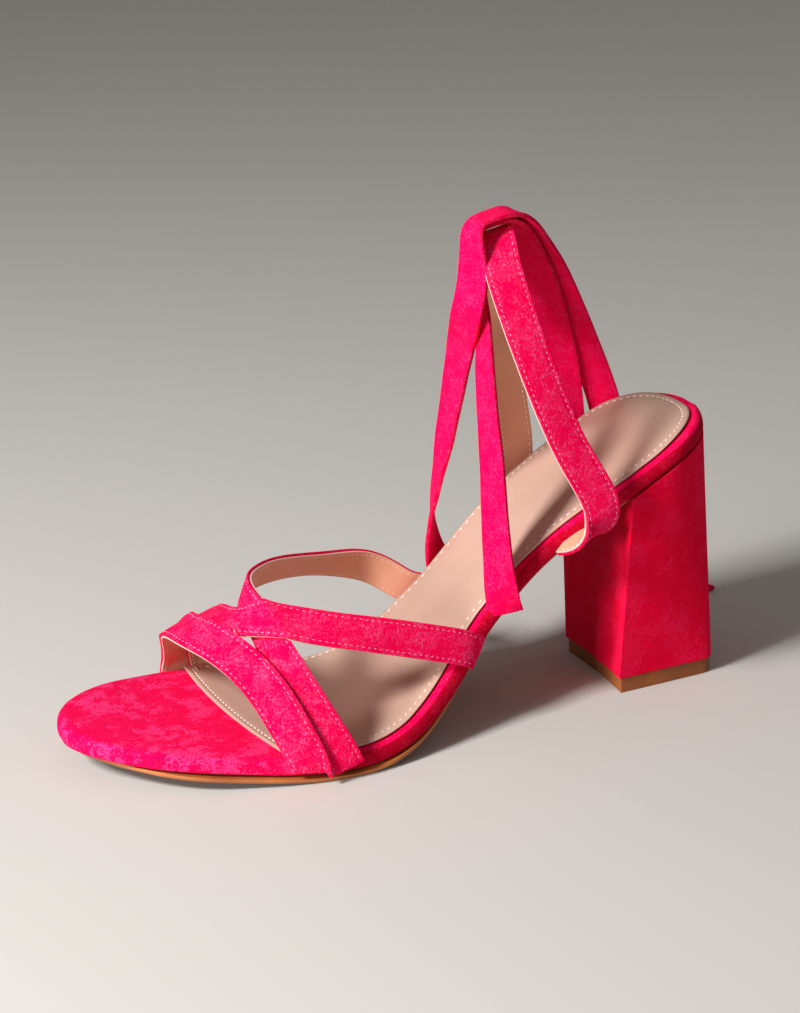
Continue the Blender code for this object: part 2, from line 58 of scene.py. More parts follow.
def setCamera():
    data = bpy.data.cameras.new("camera")
    data.lens = camera["lens"]
    data.sensor_width = camera["sensor"]
    data.sensor_fit = "HORIZONTAL"
    data.clip_end = 20.0
    place = Vector(camera["position"]) * mm
    ahead = (Vector(camera["aim"]) * mm - place).normalized()
    right = ahead.cross(Vector((0, 0, 1))).normalized()
    up = right.cross(ahead)
    turn = radians(camera["roll"])
    rolledRight = right * cos(turn) + up * sin(turn)
    rolledUp = up * cos(turn) - right * sin(turn)
    matrix = Matrix((rolledRight, rolledUp, -ahead)).transposed().to_4x4()
    matrix.translation = place
    holder = bpy.data.objects.new("camera", data)
    holder.matrix_world = matrix
    scene.collection.objects.link(holder)
    scene.camera = holder


setCamera()
scene.view_settings.view_transform = "Standard"
print("camera set")


# Shader helpers
def addNode(tree, kind, x, y, **settings):
    node = tree.nodes.new(kind)
    node.location = (x, y)
    for name, value in settings.items():
        setattr(node, name, value)
    return node


def feed(tree, value, target):
    if isinstance(value, bpy.types.NodeSocket):
        tree.links.new(value, target)
    else:
        target.default_value = value


def mixColour(tree, x, y, factor, a, b, blend="MIX"):
    node = addNode(tree, "ShaderNodeMix", x, y, data_type="RGBA", blend_type=blend)
    feed(tree, factor, node.inputs[0])
    feed(tree, a, node.inputs[6])
    feed(tree, b, node.inputs[7])
    return node.outputs[2]


def calc(tree, x, y, operation, a, b=0.0, clamp=False):
    node = addNode(tree, "ShaderNodeMath", x, y, operation=operation, use_clamp=clamp)
    feed(tree, a, node.inputs[0])
    feed(tree, b, node.inputs[1])
    return node.outputs[0]


def spread(tree, x, y, value, low, high, toLow=0.0, toHigh=1.0):
    node = addNode(tree, "ShaderNodeMapRange", x, y)
    feed(tree, value, node.inputs[0])
    for index, number in enumerate((low, high, toLow, toHigh)):
        feed(tree, number, node.inputs[index + 1])
    return node.outputs[0]


def noise(tree, x, y, vector, scale, detail=3.0, rough=0.5):
    node = addNode(tree, "ShaderNodeTexNoise", x, y)
    feed(tree, scale, node.inputs["Scale"])
    feed(tree, detail, node.inputs["Detail"])
    feed(tree, rough, node.inputs["Roughness"])
    tree.links.new(vector, node.inputs["Vector"])
    return node.outputs["Fac"]


def newGroup(name, inputs, outputs):
    group = bpy.data.node_groups.new(name, "ShaderNodeTree")
    kinds = {"Vector": "NodeSocketVector", "Colour": "NodeSocketColor", "Value": "NodeSocketFloat"}
    for label, kind, default in inputs:
        made = group.interface.new_socket(name=label, in_out="INPUT", socket_type=kinds[kind])
        if default is not None:
            made.default_value = default
    for label, kind in outputs:
        group.interface.new_socket(name=label, in_out="OUTPUT", socket_type=kinds[kind])
    return group, group.nodes.new("NodeGroupInput"), group.nodes.new("NodeGroupOutput")


def makeNapGroup():
    # Suede nap: patches brushed the other way, made of specks, and specks of their own between them
    group, given, out = newGroup(
        "suede nap",
        (("Vector", "Vector", None), ("Deep", "Colour", (0.8, 0, 0.05, 1)),
         ("Light", "Colour", (1, 0.1, 0.25, 1)), ("Patch Scale", "Value", 90.0),
         ("Patch Amount", "Value", 0.5), ("Speck Amount", "Value", 0.4)),
        (("Colour", "Colour"), ("Roughness", "Value"), ("Height", "Value")))
    given.location = (-1100, 0)
    out.location = (1000, 0)
    vector = given.outputs["Vector"]
    cloud = noise(group, -850, 300, vector, given.outputs["Patch Scale"], 6.0, 0.68)
    dots = noise(group, -850, 50, vector, 1300.0, 3.0, 0.65)
    speck = spread(group, -600, 50, dots, 0.46, 0.60)
    ragged = calc(group, -700, 300, "ADD", cloud, spread(group, -850, 500, dots, 0.3, 0.7, -0.05, 0.05))
    patch = spread(group, -500, 300, ragged, 0.51, 0.555)
    fine = noise(group, -850, -200, vector, 4200.0, 2.0, 0.7)
    grain = noise(group, -850, -400, vector, 260.0, 4.0, 0.65)
    body = calc(group, -350, 50, "MULTIPLY", calc(group, -500, 0, "ADD", speck, 0.4), patch)
    patched = calc(group, -150, 250, "MULTIPLY", body, given.outputs["Patch Amount"])
    stray = calc(group, -350, -150, "MULTIPLY", speck, spread(group, -600, -300, grain, 0.42, 0.66))
    strayed = calc(group, -150, 0, "MULTIPLY", stray, given.outputs["Speck Amount"])
    share = calc(group, 50, 100, "ADD", patched, strayed, clamp=True)
    tone = mixColour(group, 250, 100, share, given.outputs["Deep"], given.outputs["Light"])
    dark = spread(group, 50, -200, fine, 0.25, 0.6, 0.8, 1.05)
    shaded = mixColour(group, 450, 100, 1.0, tone, dark, "MULTIPLY")
    height = calc(group, 250, -300, "ADD", calc(group, 50, -400, "MULTIPLY", fine, 0.6), speck)
    group.links.new(shaded, out.inputs["Colour"])
    group.links.new(spread(group, 450, -100, share, 0.0, 1.0, 0.95, 0.8), out.inputs["Roughness"])
    group.links.new(height, out.inputs["Height"])
    return group


napGroup = makeNapGroup()


def newMaterial(name):
    material = bpy.data.materials.new(name)
    material.use_nodes = True
    tree = material.node_tree
    shader = tree.nodes["Principled BSDF"]
    shader.location = (600, 0)
    tree.nodes["Material Output"].location = (900, 0)
    coordinates = addNode(tree, "ShaderNodeTexCoord", -900, 0)
    return material, tree, shader, coordinates.outputs["Object"]


def bumpTo(tree, shader, height, distance, strength=1.0):
    bump = addNode(tree, "ShaderNodeBump", 350, -300)
    bump.inputs["Distance"].default_value = distance
    bump.inputs["Strength"].default_value = strength
    tree.links.new(height, bump.inputs["Height"])
    tree.links.new(bump.outputs["Normal"], shader.inputs["Normal"])


suede = {
    "deep": (0.93, 0.0, 0.075, 1),
    "light": (1.0, 0.09, 0.27, 1),
    "bedLight": (1.0, 0.04, 0.22, 1),
    # the footbed's side wall: darker suede colours, painted shade standing in for the shade on that side
    "shadedWallDeep": (0.52, 0.0, 0.02, 1),
    "shadedWallLight": (0.74, 0.015, 0.06, 1),
    "heelDeep": (0.88, 0.0, 0.035, 1),
    "heelLight": (1.0, 0.02, 0.12, 1),
    "edgeDeep": (0.72, 0.0, 0.05, 1),
    "edgeLight": (0.95, 0.08, 0.2, 1),
    "sheen": 0.04,
    "sheenTint": (1.0, 0.14, 0.22, 1),
    "bumpHeight": 0.00015,
    "toeStart": -0.146,         # the footbed's brushed patches fade out between these, in metres
    "toeEnd": -0.128,
    "patchBehind": 0.1,         # what is left of them behind the toe
}


def suedeMaterial(name, deep, light, patchScale, patchAmount, speckAmount, toeOnly=False):
    material, tree, shader, vector = newMaterial(name)
    nap = addNode(tree, "ShaderNodeGroup", 0, 0, node_tree=napGroup)
    tree.links.new(vector, nap.inputs["Vector"])
    nap.inputs["Deep"].default_value = deep
    nap.inputs["Light"].default_value = light
    nap.inputs["Patch Scale"].default_value = patchScale
    nap.inputs["Patch Amount"].default_value = patchAmount
    if toeOnly:
        along = addNode(tree, "ShaderNodeSeparateXYZ", -600, 200)
        tree.links.new(vector, along.inputs[0])
        toeward = spread(tree, -350, 200, along.outputs["X"], suede["toeStart"], suede["toeEnd"],
                         patchAmount, suede["patchBehind"])
        tree.links.new(toeward, nap.inputs["Patch Amount"])
    nap.inputs["Speck Amount"].default_value = speckAmount
    tree.links.new(nap.outputs["Colour"], shader.inputs["Base Color"])
    tree.links.new(nap.outputs["Roughness"], shader.inputs["Roughness"])
    shader.inputs["Specular IOR Level"].default_value = 0.05
    shader.inputs["Sheen Weight"].default_value = suede["sheen"]
    shader.inputs["Sheen Roughness"].default_value = 0.4
    shader.inputs["Sheen Tint"].default_value = suede["sheenTint"]
    bumpTo(tree, shader, nap.outputs["Height"], suede["bumpHeight"], 0.8)
    return material


suedeStrap = suedeMaterial("suede of the straps", suede["deep"], suede["light"], 150.0, 0.2, 0.62)
suedeTie = suedeMaterial("suede of the ties", suede["deep"], suede["bedLight"], 150.0, 0.15, 0.5)
suedeBed = suedeMaterial("suede of the footbed", suede["deep"], suede["bedLight"], 120.0, 1.0, 0.45,
                         toeOnly=True)
# the footbed's side wall, darkened as painted shade
suedeWallPaintedShade = suedeMaterial("footbed wall suede with painted shade", suede["shadedWallDeep"], suede["shadedWallLight"],
                          140.0, 0.3, 0.4)
suedeHeel = suedeMaterial("suede of the heel", suede["heelDeep"], suede["heelLight"], 75.0, 0.3, 0.3)
suedeEdge = suedeMaterial("cut edge of the suede", suede["edgeDeep"], suede["edgeLight"], 200.0, 0.2, 0.5)


def liningMaterial(name, colour, shade, rough=0.55):
    material, tree, shader, vector = newMaterial(name)
    cloud = noise(tree, -600, 200, vector, 28.0, 3.0)
    grain = noise(tree, -600, -100, vector, 900.0, 3.0, 0.6)
    tone = mixColour(tree, 0, 100, spread(tree, -300, 200, cloud, 0.35, 0.65), colour, shade)
    tree.links.new(tone, shader.inputs["Base Color"])
    uneven = spread(tree, -300, -50, grain, 0.3, 0.7, rough - 0.06, rough + 0.1)
    tree.links.new(uneven, shader.inputs["Roughness"])
    shader.inputs["Specular IOR Level"].default_value = 0.4
    bumpTo(tree, shader, grain, 0.00004, 0.5)
    return material


liningNude = liningMaterial("nude lining", (0.76, 0.37, 0.235, 1), (0.66, 0.31, 0.19, 1))
liningPale = liningMaterial("cut edge of the lining", (0.78, 0.56, 0.50, 1), (0.66, 0.42, 0.38, 1), 0.7)
sockNude = liningMaterial("nude sock", (0.54, 0.35, 0.27, 1), (0.48, 0.30, 0.23, 1), 0.42)
sockEdge = liningMaterial("cut edge of the sock", (0.80, 0.66, 0.58, 1), (0.70, 0.54, 0.46, 1), 0.8)


def threadMaterial(name, colour, shade):
    material, tree, shader, vector = newMaterial(name)
    twist = noise(tree, -600, 0, vector, 2500.0, 1.0)
    tree.links.new(mixColour(tree, 0, 0, twist, colour, shade), shader.inputs["Base Color"])
    shader.inputs["Roughness"].default_value = 0.6
    bumpTo(tree, shader, twist, 0.0001, 0.6)
    return material


threadPink = threadMaterial("pink thread", (0.95, 0.34, 0.46, 1), (0.8, 0.14, 0.26, 1))
threadCream = threadMaterial("cream thread", (0.88, 0.76, 0.67, 1), (0.70, 0.54, 0.45, 1))


def leatherMaterial(name, colour, shade, rough, coat=0.0):
    material, tree, shader, vector = newMaterial(name)
    cloud = noise(tree, -600, 200, vector, 60.0, 5.0, 0.6)
    scuff = noise(tree, -600, -100, vector, 700.0, 4.0, 0.65)
    tone = mixColour(tree, 0, 100, spread(tree, -300, 200, cloud, 0.35, 0.65), colour, shade)
    tree.links.new(tone, shader.inputs["Base Color"])
    uneven = spread(tree, -300, -50, scuff, 0.3, 0.7, rough - 0.08, rough + 0.12)
    tree.links.new(uneven, shader.inputs["Roughness"])
    shader.inputs["Coat Weight"].default_value = coat
    shader.inputs["Coat Roughness"].default_value = 0.3
    bumpTo(tree, shader, scuff, 0.00005, 0.4)
    return material


soleEdge = leatherMaterial("edge of the outsole", (0.48, 0.155, 0.035, 1), (0.34, 0.10, 0.025, 1), 0.5)
soleUnder = leatherMaterial("underside of the outsole", (0.27, 0.095, 0.03, 1), (0.20, 0.065, 0.02, 1),
                            0.32, 0.35)
liftStack = leatherMaterial("top lift", (0.32, 0.085, 0.015, 1), (0.21, 0.055, 0.01, 1), 0.6)
liftUnder = leatherMaterial("wearing face of the lift", (0.16, 0.08, 0.04, 1), (0.12, 0.06, 0.03, 1), 0.8)
print("materials made")


# Object helpers
def selectOnly(piece):
    bpy.ops.object.select_all(action="DESELECT")
    piece.select_set(True)
    bpy.context.view_layer.objects.active = piece


def applyAll(piece):
    selectOnly(piece)
    for name in [modifier.name for modifier in piece.modifiers]:
        bpy.ops.object.modifier_apply(modifier=name)


def bevelEdges(piece, width, segments=3, angle=35.0):
    bevel = piece.modifiers.new("soft edges", "BEVEL")
    bevel.width = width * mm
    bevel.segments = segments
    bevel.limit_method = "ANGLE"
    bevel.angle_limit = radians(angle)
    bevel.use_clamp_overlap = True


def smoothAngle(piece, angle=50.0):
    selectOnly(piece)
    bpy.ops.object.shade_smooth_by_angle(angle=radians(angle))


def settle(piece, nodes=(), slotName="suede"):
    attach(piece, "root")
    if nodes:
        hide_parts(*nodes)


def nodeCopy(nodeName, pieceName):
    # A merged copy of a solid, with its quads back
    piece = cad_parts[nodeName].copy()
    piece.data = piece.data.copy()
    piece.name = pieceName
    piece.parent = None
    piece.hide_render = False
    scene.collection.objects.link(piece)
    piece.data.materials.clear()
    selectOnly(piece)
    bpy.ops.object.mode_set(mode="EDIT")
    bpy.ops.mesh.select_all(action="SELECT")
    bpy.ops.mesh.remove_doubles(threshold=0.00001)
    bpy.ops.mesh.tris_convert_to_quads(face_threshold=radians(60), shape_threshold=radians(60))
    bpy.ops.object.mode_set(mode="OBJECT")
    return piece


def treeOf(piece):
    bm = bmesh.new()
    bm.from_mesh(piece.data)
    tree = BVHTree.FromBMesh(bm)
    bm.free()
    return tree


def makeStitchModel(length, width, height):
    bpy.ops.mesh.primitive_uv_sphere_add(segments=8, ring_count=6, radius=1.0)
    model = bpy.context.active_object
    mesh = model.data
    mesh.transform(Matrix.Diagonal((length / 2 * mm, width / 2 * mm, height / 2 * mm, 1)))
    bpy.data.objects.remove(model)
    return mesh


def sewRow(name, spots, stitch, material):
    # spots: (place, heading, normal) of each stitch, in millimetres
    chance = random.Random(len(spots))
    bm = bmesh.new()
    for place, heading, normal in spots:
        tilt = chance.uniform(-0.12, 0.12) + 0.1
        heading = (heading + normal.cross(heading) * tilt).normalized()
        side = normal.cross(heading).normalized()
        matrix = Matrix((heading, side, normal)).transposed().to_4x4()
        size = chance.uniform(0.85, 1.08)
        matrix = matrix @ Matrix.Diagonal((size, 1, 1, 1))
        matrix.translation = place * mm
        start = len(bm.verts)
        bm.from_mesh(stitch)
        bm.verts.ensure_lookup_table()
        bmesh.ops.transform(bm, matrix=matrix, verts=bm.verts[start:])
    mesh = bpy.data.meshes.new(name)
    bm.to_mesh(mesh)
    bm.free()
    mesh.materials.append(material)
    piece = bpy.data.objects.new(name, mesh)
    scene.collection.objects.link(piece)
    piece.data.shade_smooth()
    return piece


def shareOf(value, start, end):
    # 0 at start, 1 at end, eased between
    t = min(max((value - start) / (end - start), 0.0), 1.0)
    return t * t * (3.0 - 2.0 * t)


# Sole parts, refined from their solids
soleParts = {
    "footbedRoll": 1.5,         # radius of the rolled suede edge
    "shadedWallFrom": -0.129,         # behind the straps' feet the wall gets the darker suede colour, painted shade
    "footbedDrop": 0.6,         # the wrap hides this much of the outsole's edge
    "dropSpan": (-40.0, -75.0),  # the drop grows from the first x to the second
    "heelBevel": 0.8,
    "liftBevel": 0.35,
    "outsoleBevel": 0.35,
    "toeTuck": 0.075,           # the outsole is set in under the toe, and under the waist
    "toeSpan": (-162.0, -196.0),
    "toeMiddle": (-148.0, 3.0),
    "waistTuck": 0.085,
    "waistSpan": (-112.0, -72.0),
    "wallLean": 0.6,            # faces that look up less than this belong to the wall
    "turnedDown": -0.45,
}


def refine(piece, bevel, levels, angle=35.0):
    bevelEdges(piece, bevel, 3, angle)
    rounding = piece.modifiers.new("rounding", "SUBSURF")
    rounding.levels = levels
    rounding.render_levels = levels
    applyAll(piece)
    smoothAngle(piece, 60.0)


def outlineOf(piece, lean=0.45):
    # The points round the faces that look up, in order, in millimetres
    bm = bmesh.new()
    bm.from_mesh(piece.data)
    bm.normal_update()
    upward = {face for face in bm.faces if face.normal.z > lean}
    beside = {}
    for edge in bm.edges:
        if sum(face in upward for face in edge.link_faces) == 1:
            for a, b in (edge.verts, reversed(edge.verts)):
                beside.setdefault(a, []).append(b)
    first = max(beside, key=lambda vertex: vertex.co.x)
    loop = [first, beside[first][0]]
    while True:
        following = [vertex for vertex in beside[loop[-1]] if vertex != loop[-2]][0]
        if following == first:
            break
        loop.append(following)
    points = [vertex.co / mm for vertex in loop]
    bm.free()
    return points


footbed = nodeCopy("footbed", "footbedWrap")
footbed.data.materials.append(suedeBed)
baseVertices = {i for face in footbed.data.polygons
                if face.normal.z < soleParts["turnedDown"] for i in face.vertices}
for i in baseVertices:
    place = footbed.data.vertices[i].co
    place.z -= soleParts["footbedDrop"] * mm * shareOf(place.x / mm, *soleParts["dropSpan"])
refine(footbed, soleParts["footbedRoll"], 2, 50.0)
# faces of the side wall behind the straps' feet get the darker suede, painted shade
footbed.data.materials.append(suedeWallPaintedShade)
for face in footbed.data.polygons:
    onWall = face.normal.z < soleParts["wallLean"]
    face.material_index = 1 if onWall and face.center.x > soleParts["shadedWallFrom"] else 0
settle(footbed, ["footbed"], "suede")
bedTree = treeOf(footbed)

outsole = nodeCopy("outsole", "outsoleLeather")
outsole.data.materials.append(soleEdge)
outsole.data.materials.append(soleUnder)
topVertices = {i for face in outsole.data.polygons
               if face.normal.z > -soleParts["turnedDown"] for i in face.vertices}
toeMiddle = soleParts["toeMiddle"]
for i, vertex in enumerate(outsole.data.vertices):
    x, y, z = vertex.co / mm
    if i in topVertices:
        z -= soleParts["footbedDrop"] * shareOf(x, *soleParts["dropSpan"])
    tip = shareOf(x, *soleParts["toeSpan"]) * soleParts["toeTuck"]
    waist = shareOf(x, *soleParts["waistSpan"]) * soleParts["waistTuck"]
    tucked = (x + (toeMiddle[0] - x) * tip, y * (1.0 - waist) + (toeMiddle[1] - y) * tip, z)
    vertex.co = Vector(tucked) * mm
refine(outsole, soleParts["outsoleBevel"], 2)
for face in outsole.data.polygons:
    down = face.normal.z < soleParts["turnedDown"]
    face.material_index = 1 if down and abs(face.normal.y) < 0.6 else 0
settle(outsole, ["outsole"], "sole_leather")

heelLook = {
    "seam": 0.0,                # where the cover meets on the breast, across the foot
    "seamGap": 0.12,
    "lap": 0.45,                # the outer flap stands out by this much
    "lapReach": 15.0,
}
heel = nodeCopy("heel", "heelCover")
heel.data.materials.append(suedeHeel)
refine(heel, soleParts["heelBevel"], 2)
selectOnly(heel)
for offset in (-heelLook["seamGap"], heelLook["seamGap"]):
    bpy.ops.object.mode_set(mode="EDIT")
    bpy.ops.mesh.select_all(action="SELECT")
    bpy.ops.mesh.bisect(plane_co=(0, (heelLook["seam"] + offset) * mm, 0), plane_no=(0, 1, 0))
    bpy.ops.object.mode_set(mode="OBJECT")
for vertex in heel.data.vertices:
    fromSeam = heelLook["seam"] - vertex.co.y / mm
    if vertex.normal.x < -0.6 and fromSeam > 0.05:
        rest = 1.0 - shareOf(fromSeam, 1.0, heelLook["lapReach"])
        vertex.co.x -= heelLook["lap"] * rest * mm
smoothAngle(heel, 40.0)
settle(heel, ["heel"], "suede")

lift = nodeCopy("top_lift", "heelLift")
lift.data.materials.append(liftStack)
lift.data.materials.append(liftUnder)
refine(lift, soleParts["liftBevel"], 1)
for face in lift.data.polygons:
    face.material_index = 1 if face.normal.z < -0.7 else 0
settle(lift, ["top_lift"], "rubber")
print("sole parts refined")


# The sock: a sheet with a sewn rim and a pinked front edge
sockLook = {
    "above": 1.35,              # its face above the footbed
    "thick": 0.9,
    "heelCentre": (-9.8, 0.0),  # the round of the heel seat, an ellipse
    "heelRadii": (24.3, 26.7),
    "pinkPitch": 1.9,
    "pinkDepth": 0.42,
    "stitchInset": 2.2,
    "stitchPitch": 2.35,
    "stitch": (1.6, 0.6, 0.5),  # length, width and height of one
    "stitchSunk": 0.08,
    "grid": 4.0,                # spacing of the points inside the rim
    "frontBefore": -140.0,      # the front edge lies before this x and within this y
    "frontWithin": 39.5,
}
# Height of the face by the distance from its edge
sockRim = ((0.0, -0.32), (0.25, -0.08), (0.7, 0.07), (1.3, 0.1), (1.8, 0.0), (2.2, -0.13), (2.6, -0.02),
           (3.3, 0.05), (4.6, 0.0))


def bedHeight(x, y):
    for share in (1.0, 0.97, 0.94):
        hit, normal, _, _ = bedTree.ray_cast(Vector((x * mm, y * share * mm, 0.3)), Vector((0, 0, -1)))
        if hit and normal.z > 0.5:
            return hit.z / mm, normal
    return 12.0, Vector((0, 0, 1))


def resampled(points, step):
    # Even steps along a smooth curve through the points
    ends = [points[0] * 2.0 - points[1]] + list(points) + [points[-1] * 2.0 - points[-2]]
    fine = []
    for i in range(len(points) - 1):
        fine += [catmullRom(*ends[i:i + 4], k / 12) for k in range(12)]
    fine.append(points[-1])
    lengths = [0.0]
    for a, b in zip(fine, fine[1:]):
        lengths.append(lengths[-1] + (b - a).length)
    count = max(round(lengths[-1] / step), 2)
    even, i = [], 0
    for number in range(count + 1):
        at = lengths[-1] * number / count
        while i < len(fine) - 2 and lengths[i + 1] < at:
            i += 1
        even.append(fine[i].lerp(fine[i + 1], (at - lengths[i]) / (lengths[i + 1] - lengths[i])))
    return even


def catmullRom(a, b, c, d, t):
    return 0.5 * ((2.0 * b) + (c - a) * t + (2.0 * a - 5.0 * b + 4.0 * c - d) * t * t
                  + (3.0 * b - a - 3.0 * c + d) * t ** 3)


def sockOutline(sockSolid):
    # The solid's outline in plan with a true round at the back, and which points are its front edge
    loop = [Vector(point[:2]) for point in outlineOf(sockSolid)]
    if loop[3].y > 0:
        loop = loop[:1] + loop[:0:-1]
    frontal = [i for i, point in enumerate(loop)
               if point.x < sockLook["frontBefore"] and abs(point.y) < sockLook["frontWithin"]]
    first, last = frontal[0] - 1, frontal[-1] + 1
    centre, radii = Vector(sockLook["heelCentre"]), sockLook["heelRadii"]
    arc = [centre + Vector((radii[0] * sin(pi * k / 28), radii[1] * cos(pi * k / 28))) for k in range(29)]
    lateral = resampled(arc[14:] + [point for point in loop[:first + 1] if point.x < centre.x - 1.0], 1.1)
    front = resampled(loop[first:last + 1], 0.24)
    medial = resampled([point for point in loop[last:] if point.x < centre.x - 1.0] + arc[:15], 1.1)
    inFront = [0] * (len(lateral) - 1) + [1] * (len(front) - 1) + [0] * (len(medial) - 1)
    return lateral[:-1] + front[:-1] + medial[:-1], inFront


def insetLoop(points, distance):
    # Each point moved inwards, square to a chord that grows with the distance
    reach = max(distance, 0.7) * 1.6
    count = len(points)
    moved = []
    for i, point in enumerate(points):
        ends = []
        for step in (1, -1):
            k, travelled = i, 0.0
            while travelled < reach:
                travelled += (points[(k + step) % count] - points[k % count]).length
                k += step
            ends.append(points[k % count])
        chord = (ends[0] - ends[1]).normalized()
        moved.append(point + Vector((chord.y, -chord.x)) * distance)
    return moved


def isInside(point, loop):
    inside = False
    for a, b in zip(loop, loop[1:] + loop[:1]):
        if (a.y > point.y) != (b.y > point.y):
            if point.x < a.x + (point.y - a.y) / (b.y - a.y) * (b.x - a.x):
                inside = not inside
    return inside


def onBed(point, height):
    z, normal = bedHeight(point.x, point.y)
    return Vector((point.x, point.y, z + height / normal.z)), normal


def makeSock(sockSolid):
    outline, inFront = sockOutline(sockSolid)
    travelled, lengths = 0.0, []
    for i, point in enumerate(outline):
        lengths.append(travelled)
        travelled += (outline[(i + 1) % len(outline)] - point).length
    loops = []
    for distance, height in sockRim:
        loop = insetLoop(outline, distance) if distance else list(outline)
        if distance < 1.0:
            inner = insetLoop(outline, 1.0)
            teeth = sockLook["pinkDepth"] * (1.0 - distance)
            for i, at in enumerate(lengths):
                wave = abs(sin(pi * at / sockLook["pinkPitch"])) - 0.6
                outward = (loop[i] - inner[i]).normalized()
                loop[i] = loop[i] + outward * wave * teeth * inFront[i]
        loops.append([onBed(point, sockLook["above"] + height)[0] for point in loop])
    rimLoop = [Vector(point[:2]) for point in loops[-1]]
    xs, ys = [point.x for point in rimLoop], [point.y for point in rimLoop]
    keepClear = insetLoop(rimLoop, 2.2)
    grid = sockLook["grid"]
    inside = []
    for i in range(int((max(xs) - min(xs)) / grid) + 1):
        for k in range(int((max(ys) - min(ys)) / grid) + 1):
            point = Vector((min(xs) + grid * i, min(ys) + grid * k))
            if isInside(point, keepClear):
                inside.append(point)
    around = [list(range(len(rimLoop)))]
    flatPoints, _, triangles, _, _, _ = delaunay_2d_cdt(rimLoop + inside, [], around, 1, 0.001)
    bm = bmesh.new()
    rings = [[bm.verts.new(point * mm) for point in loop] for loop in loops]
    for outer, inner in zip(rings, rings[1:]):
        for i in range(len(outer)):
            j = (i + 1) % len(outer)
            bm.faces.new((outer[i], inner[i], inner[j], outer[j]))
    raised = [onBed(point, sockLook["above"])[0] for point in flatPoints[len(rimLoop):]]
    middle = rings[-1] + [bm.verts.new(point * mm) for point in raised]
    for corners in triangles:
        bm.faces.new([middle[i] for i in corners])
    bmesh.ops.recalc_face_normals(bm, faces=bm.faces)
    if sum(face.normal.z for face in bm.faces) < 0:
        bmesh.ops.reverse_faces(bm, faces=bm.faces)
    mesh = bpy.data.meshes.new("sockLining")
    bm.to_mesh(mesh)
    bm.free()
    mesh.materials.append(sockNude)
    mesh.materials.append(sockEdge)
    sock = bpy.data.objects.new("sockLining", mesh)
    scene.collection.objects.link(sock)
    solid = sock.modifiers.new("thickness", "SOLIDIFY")
    solid.thickness = sockLook["thick"] * mm
    solid.offset = -1.0
    solid.material_offset_rim = 1
    applyAll(sock)
    smoothAngle(sock, 50.0)
    settle(sock, ["sock"], "lining")

    rows = insetLoop(outline, sockLook["stitchInset"])
    spots, at, i = [], 0.0, 0
    ring = rows + rows[:1]
    height = sockLook["above"] - sockLook["stitchSunk"]
    while i < len(rows):
        step = (ring[i + 1] - ring[i]).length
        if at > step:
            at -= step
            i += 1
            continue
        place = ring[i].lerp(ring[i + 1], at / step)
        onFace, normal = onBed(place, height)
        ahead = onBed(ring[i + 1] + (ring[i + 1] - ring[i]), height)[0]
        spots.append((onFace, (ahead - onFace).normalized(), normal))
        at += sockLook["stitchPitch"]
    stitch = makeStitchModel(*sockLook["stitch"])
    thread = sewRow("sockStitches", spots, stitch, threadCream)
    settle(thread, ["sock"], "lining")


sockSolid = nodeCopy("sock", "sockSolid")
makeSock(sockSolid)
bpy.data.objects.remove(sockSolid)
print("sock sewn")


# Strips of suede: straps, sling and ties
def insoleHeight(x):
    return bedHeight(x, 0.0)[0]


def footNormal(point, rise, axisHeight=8.0):
    # Outwards from the foot's middle line, leaning to the toe as the instep rises to the rear
    height = point.z - insoleHeight(point.x) - axisHeight
    radius = sqrt(point.y ** 2 + height ** 2)
    return Vector((-rise * max(height, 0.0) / radius, point.y / radius, height / radius)).normalized()


def smoothRoute(points, normals, step):
    ends = [points[0] * 2.0 - points[1]] + list(points) + [points[-1] * 2.0 - points[-2]]
    path, facings = [], []
    for i in range(len(points) - 1):
        pieces = max(round((points[i + 1] - points[i]).length / step), 2)
        for k in range(pieces):
            path.append(catmullRom(*ends[i:i + 4], k / pieces))
            ease = k / pieces
            ease = ease * ease * (3.0 - 2.0 * ease)
            facings.append(normals[i].lerp(normals[i + 1], ease).normalized())
    return path + [points[-1]], facings + [normals[-1]]


def columnsOf(width):
    half = width / 2.0
    inset = [0.0, 0.35, 0.85, 1.2, 1.6, 2.4]
    left = [-half + gap for gap in inset]
    return left + [-half * 0.25, half * 0.25] + [-u for u in reversed(left)]


def layStrip(points, normals, width, step=1.3, passes=6):
    # Rows of points across a strip, in millimetres, and the normal of each row
    path, facings = smoothRoute(points, normals, step)
    columns = columnsOf(width)
    last = len(path) - 1
    rows, rowNormals = [], []
    for i, point in enumerate(path):
        tangent = (path[min(i + 1, last)] - path[max(i - 1, 0)]).normalized()
        facing = (facings[i] - tangent * facings[i].dot(tangent)).normalized()
        across = facing.cross(tangent)
        rows.append([point + across * u for u in columns])
        rowNormals.append(facing)
    for _ in range(passes):
        moved = [list(row) for row in rows]
        for i in range(1, last):
            for k in range(len(columns)):
                moved[i][k] = rows[i][k] * 0.5 + (rows[i - 1][k] + rows[i + 1][k]) * 0.25
        rows = moved
    return rows, rowNormals, columns


def liftOver(rows, rowNormals, trees, need, reach=4.0, easing=18):
    # Raises a strip where another lies under it
    lifts = [[0.0] * len(row) for row in rows]
    for i, row in enumerate(rows):
        facing = rowNormals[i]
        for k, point in enumerate(row):
            for tree in trees:
                start = (point + facing * reach) * mm
                hit = tree.ray_cast(start, -facing, 2.0 * reach * mm)[0]
                if hit:
                    above = (point - hit / mm).dot(facing)
                    lifts[i][k] = max(lifts[i][k], need - above)
    for _ in range(easing):
        eased = [list(row) for row in lifts]
        for i in range(1, len(rows) - 1):
            for k in range(len(rows[0])):
                side = lifts[i][max(k - 1, 0)] + lifts[i][min(k + 1, len(rows[0]) - 1)]
                average = (lifts[i - 1][k] + lifts[i + 1][k] + side) / 4.0
                eased[i][k] = max(lifts[i][k], average * 0.97)
        lifts = eased
    return [[point + rowNormals[i] * lifts[i][k] for k, point in enumerate(row)]
            for i, row in enumerate(rows)]


